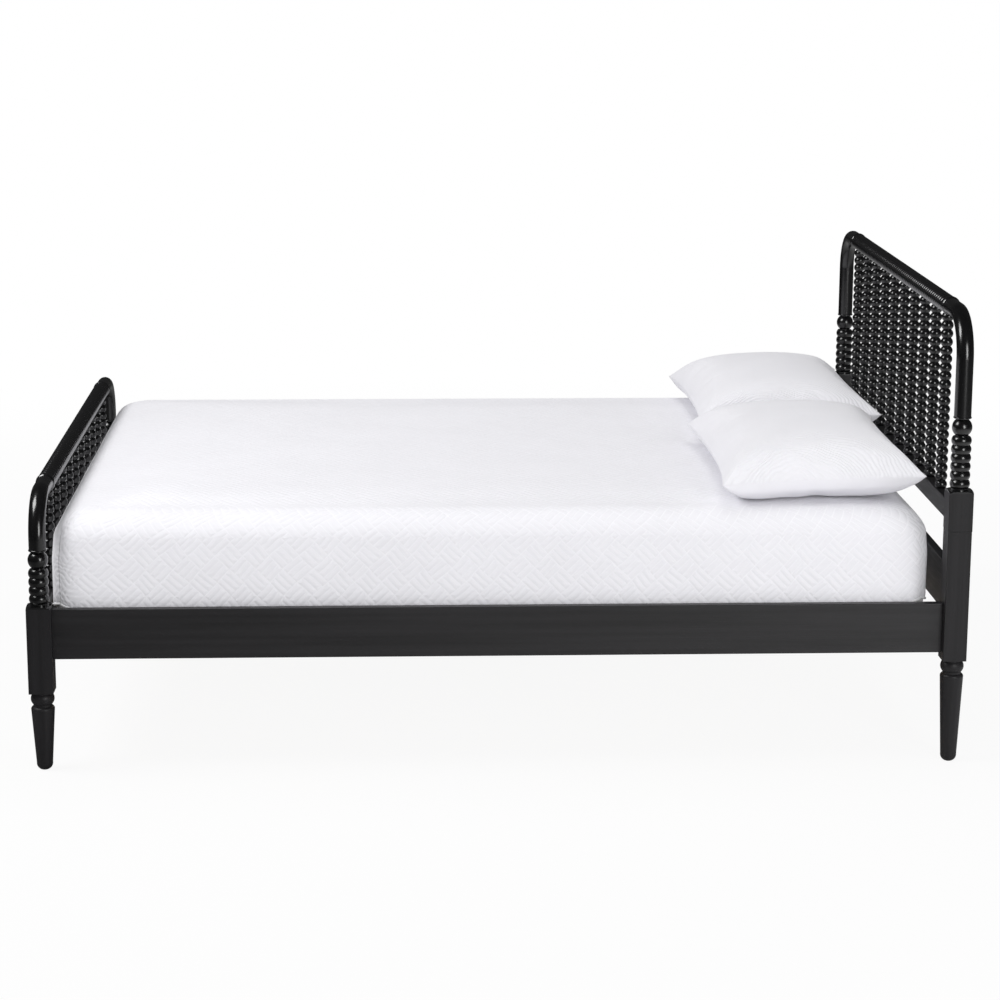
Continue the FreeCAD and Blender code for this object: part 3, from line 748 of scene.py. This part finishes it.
def layOutCloth(piece, middle, half, total, seam):
    # a map in metres: the top as it lies, each side folded out from it, a panel of its own below the seam
    mesh = piece.data
    normals = np.empty(len(mesh.polygons) * 3)
    mesh.polygons.foreach_get("normal", normals)
    normals = np.repeat(normals.reshape(-1, 3), 4, axis=0)
    place = readPoints(piece)[cornerPoints(mesh)]
    drop = total - place[:, 2]
    top = half - bedding["topInset"]
    flat = (place[:, :2] - middle) / half * top
    faceHeight = place[:, 2].reshape(-1, 4).mean(axis=1).repeat(4)
    for axis in (0, 1):
        side = np.abs(normals[:, axis]) > 0.5
        flat[side, axis] = np.sign(normals[side, axis]) * (top[axis] + drop[side])
        panel = side & (faceHeight < seam)
        flat[panel, 1 - axis] = place[panel, 1 - axis] - middle[1 - axis]
    layer = mesh.uv_layers.new(name="layout")
    layer.data.foreach_set("uv", flat.astype(np.float32).ravel())


def pulls(points, middle, half):
    # the way round the piece, the way up from the hem, and the nearness of a corner seam
    flat = points[:, :2] - middle
    away = half - np.abs(flat)
    around = np.where(away[:, 1] < touching, flat[:, 0], flat[:, 1])
    fromEdge, fromSeam = away.min(axis=1), away.max(axis=1)
    near = np.exp(-fromSeam / cornerSeam["puckerReach"] - fromEdge / cornerSeam["overTop"])
    near *= np.where(flat[:, 0] < 0, 1.0, cornerSeam["headPuckers"])
    onEnd = (away[:, 0] < touching) & (fromSeam > touching)
    near *= np.where(onEnd, cornerSeam["endPuckers"], 1.0)
    return around, points[:, 2] + fromEdge, near, fromEdge, fromSeam


def gathered(points, around, up, fromEdge, fromSeam, middle):
    # the hem is drawn in between its gathers and up at the corners, where the seams lie in furrows;
    # the sides and the top are a little uneven, and the top swells towards the foot
    outward = points[:, :2] - middle
    outward /= np.maximum(np.hypot(outward[:, 0], outward[:, 1]), 1e-9)[:, None]
    fold = np.abs(np.sin(math.pi * around / hem["gatherPitch"])) - 0.5
    amount = hem["gatherDepth"] * fold * np.exp(-up / hem["gatherHeight"])
    furrow = cornerSeam["depth"] * np.where(outward[:, 0] < 0, 1.0, cornerSeam["headDepth"])
    amount -= furrow * np.exp(-(fromSeam / cornerSeam["width"]) ** 2 - fromEdge / cornerSeam["overTop"])
    uneven = np.array([noise.noise(Vector(p) * bedding["uneven"]) for p in points])
    onSide = fromEdge < touching
    amount += np.where(onSide, uneven * bedding["unevenSide"], 0.0)
    points[:, :2] += outward * amount[:, None]
    points[:, 2] += uneven * bedding["unevenTop"] * eased(fromEdge / bedding["unevenEdge"])
    swell = np.exp(-((points[:, 0] - middle[0] + bedding["swellPlace"]) / bedding["swellReach"]) ** 2)
    points[:, 2] += bedding["footSwell"] * swell * eased(fromEdge / bedding["swellEdge"])
    drawn = np.exp(-(fromSeam / hem["cornerReach"]) ** 2) * np.clip(1 - up / hem["liftHeight"], 0.0, 1.0)
    points[:, 2] += hem["cornerLift"] * drawn
    return points


def beddingRoom(node):
    low, high = roomOf(node)
    high[0] -= bedding["headGap"]
    return low[2], high[2], (low[:2] + high[:2]) / 2, (high[:2] - low[:2]) / 2


def coverPiece():
    lowest, highest, middle, half = beddingRoom("mattress_cover")
    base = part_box("mattress")[0][2]
    rows, lengths, seam = sideProfile(highest - base, lowest - base)
    total = lengths[-1]
    piece = cutBlock("quilted_cover", (*middle, total / 2), (*(2 * half), total), bedding["coverCell"], True)
    layOutCloth(piece, middle, half, total, seam)
    points = readPoints(piece)
    around, up, near, fromEdge, fromSeam = pulls(points, middle, half)
    pull = piece.data.attributes.new("pull", "FLOAT_VECTOR", "POINT")
    pull.data.foreach_set("vector", np.column_stack([around, up, near]).astype(np.float32).ravel())
    points = rounded(points, middle, half, rows, lengths, base)
    writePoints(piece, gathered(points, around, up, fromEdge, fromSeam, middle))
    flat = tuple(float(2 * (t + total)) for t in half - bedding["topInset"])
    return piece, flat, total


def mattressPiece():
    lowest, highest, middle, half = beddingRoom("mattress")
    rows, lengths = sideProfile(highest - lowest, 0.0)[:2]
    total = lengths[-1]
    piece = cutBlock("mattress_core", (*middle, total / 2), (*(2 * half), total), bedding["coreCell"], False)
    writePoints(piece, rounded(readPoints(piece), middle, half, rows, lengths, lowest))
    return piece


def hemBinding(piece):
    # a round binding along the open edge of the cover
    pickOnly(piece)
    inMode("EDIT")
    bpy.ops.mesh.select_mode(type="EDGE")
    bpy.ops.mesh.select_all(action="DESELECT")
    bpy.ops.mesh.select_non_manifold(extend=False, use_wire=False, use_boundary=True, use_multi_face=False,
                                     use_non_contiguous=False, use_verts=False)
    bpy.ops.mesh.duplicate()
    bpy.ops.mesh.separate(type="SELECTED")
    inMode("OBJECT")
    binding = next(thing for thing in bpy.context.selected_objects if thing != piece)
    binding.name = "hem_binding"
    binding.data.materials.clear()
    pickOnly(binding)
    bpy.ops.object.convert(target="CURVE")
    binding.data.bevel_depth = hem["binding"] / 2
    binding.data.bevel_resolution = 2
    bpy.ops.object.convert(target="MESH")
    return bpy.context.object


cover, coverFlat, coverDrop = coverPiece()
mattress = mattressPiece()
binding = hemBinding(cover)
smoothed(binding, tapeMaterial)
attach(binding, "root")
smoothed(cover, quiltMaterial)
takesPlaceOf(cover, "mattress_cover")
smoothed(mattress, tickingMaterial)
takesPlaceOf(mattress, "mattress")
print("mattress and cover done:", len(cover.data.polygons), "faces, cut to", coverFlat)


# pillows
pillow = {
    "cell": 0.0098,
    "seam": 0.0025,
    "drawIn": 0.014,
    "crown": 0.095,
    "belly": 0.062,
    "tilt": 0.022,
    "crownFullness": 0.56,
    "crownAlong": 2.4,       # how square the crown is, along and across the bed
    "crownAcross": 2.8,
    "bellyFullness": 0.42,
    "bellyAlong": 4,
    "bellyAcross": 6,
    "lean": 0.12,            # how far the crown lies towards the foot of the bed
    "start": 0.85,           # share of the full height before it is blown up
    "pressed": 0.2,          # share of the belly that its weight flattens
    "roll": 0.004,           # how softly the flat part turns up
    "sag": 0.005,            # over the rounded edge of the bed
    "sagStart": 0.58,        # from the middle of the bed
    "sagReach": 0.14,
}
stuffing = {
    "frames": 16,
    "cap": 0.016,            # how far a point may move
    "quality": 5,
    "mass": 0.25,
    "pressure": 4.0,
    "stretch": 16.0,
    "shear": 5.0,
    "bending": 0.3,
}


def blownUp(piece):
    scene = bpy.context.scene
    before = readPoints(piece)
    cloth = piece.modifiers.new("cloth", "CLOTH")
    settings = cloth.settings
    settings.quality = stuffing["quality"]
    settings.mass = stuffing["mass"]
    settings.tension_stiffness = stuffing["stretch"]
    settings.compression_stiffness = stuffing["stretch"]
    settings.shear_stiffness = stuffing["shear"]
    settings.bending_stiffness = stuffing["bending"]
    settings.use_pressure = True
    settings.uniform_pressure_force = stuffing["pressure"]
    settings.effector_weights.gravity = 0.0
    cloth.collision_settings.use_collision = False
    cloth.point_cache.frame_start = 1
    cloth.point_cache.frame_end = stuffing["frames"]
    for number in range(1, stuffing["frames"] + 1):
        scene.frame_set(number)
    pickOnly(piece)
    bpy.ops.object.modifier_apply(modifier=cloth.name)
    scene.frame_set(1)
    moved = readPoints(piece) - before
    length = np.maximum(np.linalg.norm(moved, axis=1), 1e-9)
    writePoints(piece, before + moved * np.minimum(1.0, stuffing["cap"] / length)[:, None])
    print(piece.name, "moved up to", round(float(length.max()), 4))


def pillowBag(name, size):
    # two sheets of cloth sewn round their edges
    deselect()
    bpy.ops.mesh.primitive_grid_add(x_subdivisions=round(size[0] / pillow["cell"]),
                                    y_subdivisions=round(size[1] / pillow["cell"]), size=1.0,
                                    calc_uvs=False)
    bag = bpy.context.object
    bag.name = name
    bag.scale = (size[0], size[1], 1.0)
    placeInMesh(bag)
    inMode("EDIT")
    bpy.ops.mesh.select_all(action="SELECT")
    bpy.ops.mesh.extrude_region_move(TRANSFORM_OT_translate={"value": (0, 0, pillow["seam"])})
    bpy.ops.mesh.select_all(action="SELECT")
    bpy.ops.mesh.normals_make_consistent(inside=False)
    inMode("OBJECT")
    return bag


def domed(u, v, along, across, fullness):
    return np.clip((1 - np.abs(u) ** along) * (1 - np.abs(v) ** across), 0.0, 1.0) ** fullness


def stuffed(points, size):
    # a full middle, thin pointed corners and sides drawn in between them
    u, v = 2 * points[:, 0] / size[0], 2 * points[:, 1] / size[1]
    upper = points[:, 2] > pillow["seam"] / 2
    leaning = u + pillow["lean"] * (1 - u ** 2)
    crown = domed(leaning, v, pillow["crownAlong"], pillow["crownAcross"], pillow["crownFullness"])
    belly = domed(u, v, pillow["bellyAlong"], pillow["bellyAcross"], pillow["bellyFullness"])
    shaped = points.copy()
    shaped[:, 0] -= pillow["drawIn"] * (1 - v ** 2) * u
    shaped[:, 1] -= pillow["drawIn"] * (1 - u ** 2) * v
    height = np.where(upper, pillow["crown"] * crown, -pillow["belly"] * belly)
    shaped[:, 2] += height * pillow["start"] + pillow["tilt"] * u / 2
    return shaped, upper


def fitted(points, low, high):
    # into the solid's space, lying flat where it rests
    sunk = low.copy()
    sunk[2] -= pillow["belly"] * pillow["pressed"]
    least, most = points.min(axis=0), points.max(axis=0)
    points = (points - least) / (most - least) * (high - sunk) + sunk
    roll = pillow["roll"]
    below = low[2] - points[:, 2]
    resting = low[2] + roll * np.exp(-np.clip(below + roll, 0, 1) / roll)
    points[:, 2] = np.where(below > -roll, resting, points[:, 2])
    points[:, 2] -= pillow["sag"] * eased((np.abs(points[:, 1]) - pillow["sagStart"]) / pillow["sagReach"])
    return points


def pillowPiece(side):
    low, high = roomOf("pillow_" + side)
    size = (high - low)[:2]
    bag = pillowBag("pillow_" + side + "_filled", size)
    flat = readPoints(bag)
    shaped, upper = stuffed(flat, size)
    writePoints(bag, shaped)
    blownUp(bag)
    writePoints(bag, fitted(readPoints(bag), low, high))
    ribbed = bag.data.attributes.new("ribbed", "FLOAT", "POINT")
    ribbed.data.foreach_set("value", upper.astype(np.float32))
    layout = flat[cornerPoints(bag.data), :2].astype(np.float32)
    bag.data.uv_layers.new(name="layout").data.foreach_set("uv", layout.ravel())
    smoothed(bag, pillowMaterial)
    finer = bag.modifiers.new("finer", "SUBSURF")
    finer.levels = finer.render_levels = 1
    bpy.ops.object.modifier_apply(modifier=finer.name)
    return bag


for side in sides:
    bag = pillowPiece(side)
    takesPlaceOf(bag, "pillow_" + side)
print("pillows done")


# studio
studio = {
    "cameraPlace": (-0.2476, -6.5458, 1.9216),
    "cameraLens": 94.07,
    "cameraHeading": -2.441,
    "cameraPitch": 12.641,
    "cameraRoll": 0.217,
    "worldLevel": 0.32,
    "mirroredLevel": 0.04,   # dark studio behind the lamps, as the lacquer mirrors it
    "floorRadius": 40.0,
    "floorPaint": 0.8,
    "floorWhite": (1.5, 4.5, 0.92, 1.0),      # distances, then the share of plain white there
    "mirroredAlong": (-1.3, 1.2, 0.12, 0.8),  # places from foot to head, then the floor's mirrored level
    "mirroredAway": (2.2, 4.5, 1.0, 0.25),    # distances, then the share of that level
}
# name, place, aim, size (m), radiance, whether the lacquer mirrors it
lamps = (
    ("leftBox", (-3.05, -1.0, 3.75), (0.2, 0.0, 0.6), (2.0, 2.0), 9.6, True),
    ("rightBox", (2.35, -5.6, 1.85), (0.0, 0.0, 1.0), (1.7, 2.7), 7.5, True),
    ("leftFill", (-2.2, -4.6, 1.0), (0.0, 0.0, 0.4), (2.0, 2.0), 0.7, False),
    ("topFill", (0.7, 0.9, 3.8), (0.3, 0.3, 0.6), (2.0, 2.0), 2.7, False),
    ("rightFill", (3.6, -2.4, 0.7), (1.0, -0.6, 0.4), (1.6, 1.6), 3.6, False),
)


def addCamera():
    data = bpy.data.cameras.new("view")
    data.lens = studio["cameraLens"]
    data.sensor_width = 36.0
    camera = bpy.data.objects.new("view", data)
    bpy.context.scene.collection.objects.link(camera)
    turn = Matrix.Rotation(math.radians(studio["cameraHeading"]), 4, "Z")
    tip = Matrix.Rotation(math.radians(90 - studio["cameraPitch"]), 4, "X")
    roll = Matrix.Rotation(math.radians(studio["cameraRoll"]), 4, "Z")
    camera.matrix_world = Matrix.Translation(studio["cameraPlace"]) @ turn @ tip @ roll
    bpy.context.scene.camera = camera


def addLamp(name, place, aim, size, radiance, mirrored):
    data = bpy.data.lights.new(name, "AREA")
    data.shape = "RECTANGLE"
    data.size, data.size_y = size
    data.energy = radiance * math.pi * size[0] * size[1]
    lamp = bpy.data.objects.new(name, data)
    lamp.location = place
    lamp.rotation_euler = (Vector(aim) - Vector(place)).to_track_quat("-Z", "Y").to_euler()
    lamp.visible_glossy = mirrored
    bpy.context.scene.collection.objects.link(lamp)


def seenDirectly(tree):
    path = addNode(tree, "LightPath")
    return calc(tree, "MAXIMUM", path.outputs["Is Camera Ray"], path.outputs["Is Transmission Ray"])


def addWorld():
    world = bpy.data.worlds.new("studio")
    world.use_nodes = True
    bpy.context.scene.world = world
    tree = world.node_tree
    mirrored = addNode(tree, "LightPath").outputs["Is Glossy Ray"]
    level = ranged(tree, mirrored, 0.0, 1.0, studio["worldLevel"], studio["mirroredLevel"])
    level = calc(tree, "MAXIMUM", level, seenDirectly(tree))
    tree.links.new(level, tree.nodes["Background"].inputs["Strength"])
    tree.nodes["Background"].inputs["Color"].default_value = (1.0, 1.0, 1.0, 1.0)


def addFloor():
    # white to the eye, keeps a faint shadow near the bed and fades into the background further out
    deselect()
    bpy.ops.mesh.primitive_circle_add(vertices=96, radius=studio["floorRadius"], fill_type="NGON")
    floor = bpy.context.object
    floor.name = "floor"
    material = bpy.data.materials.new("white floor")
    material.use_nodes = True
    tree = material.node_tree
    tree.nodes.remove(tree.nodes["Principled BSDF"])
    glow = addNode(tree, "Emission", {"Color": (1.0, 1.0, 1.0, 1.0), "Strength": 1.0})
    place = objectPlace(tree)
    distance = addNode(tree, "VectorMath", {0: place}, operation="LENGTH").outputs["Value"]
    # the lacquer mirrors a floor that darkens towards the foot of the bed and away from it
    along = addNode(tree, "SeparateXYZ", {"Vector": place}).outputs["X"]
    mirrored = calc(tree, "MULTIPLY", ranged(tree, along, *studio["mirroredAlong"]),
                    ranged(tree, distance, *studio["mirroredAway"], smooth=True))
    glossy = addNode(tree, "LightPath").outputs["Is Glossy Ray"]
    level = addNode(tree, "Mix", {0: glossy, 2: studio["floorPaint"], 3: mirrored}).outputs[0]
    paint = addNode(tree, "BsdfDiffuse", {"Color": level})
    share = ranged(tree, distance, *studio["floorWhite"], smooth=True)
    share = calc(tree, "MULTIPLY", share, seenDirectly(tree))
    mixed = addNode(tree, "MixShader", {0: share, 1: paint.outputs[0], 2: glow.outputs[0]})
    tree.links.new(mixed.outputs[0], tree.nodes["Material Output"].inputs["Surface"])
    floor.data.materials.append(material)


addCamera()
for lamp in lamps:
    addLamp(*lamp)
addWorld()
addFloor()
bpy.context.scene.view_settings.view_transform = "Standard"
print("studio done")
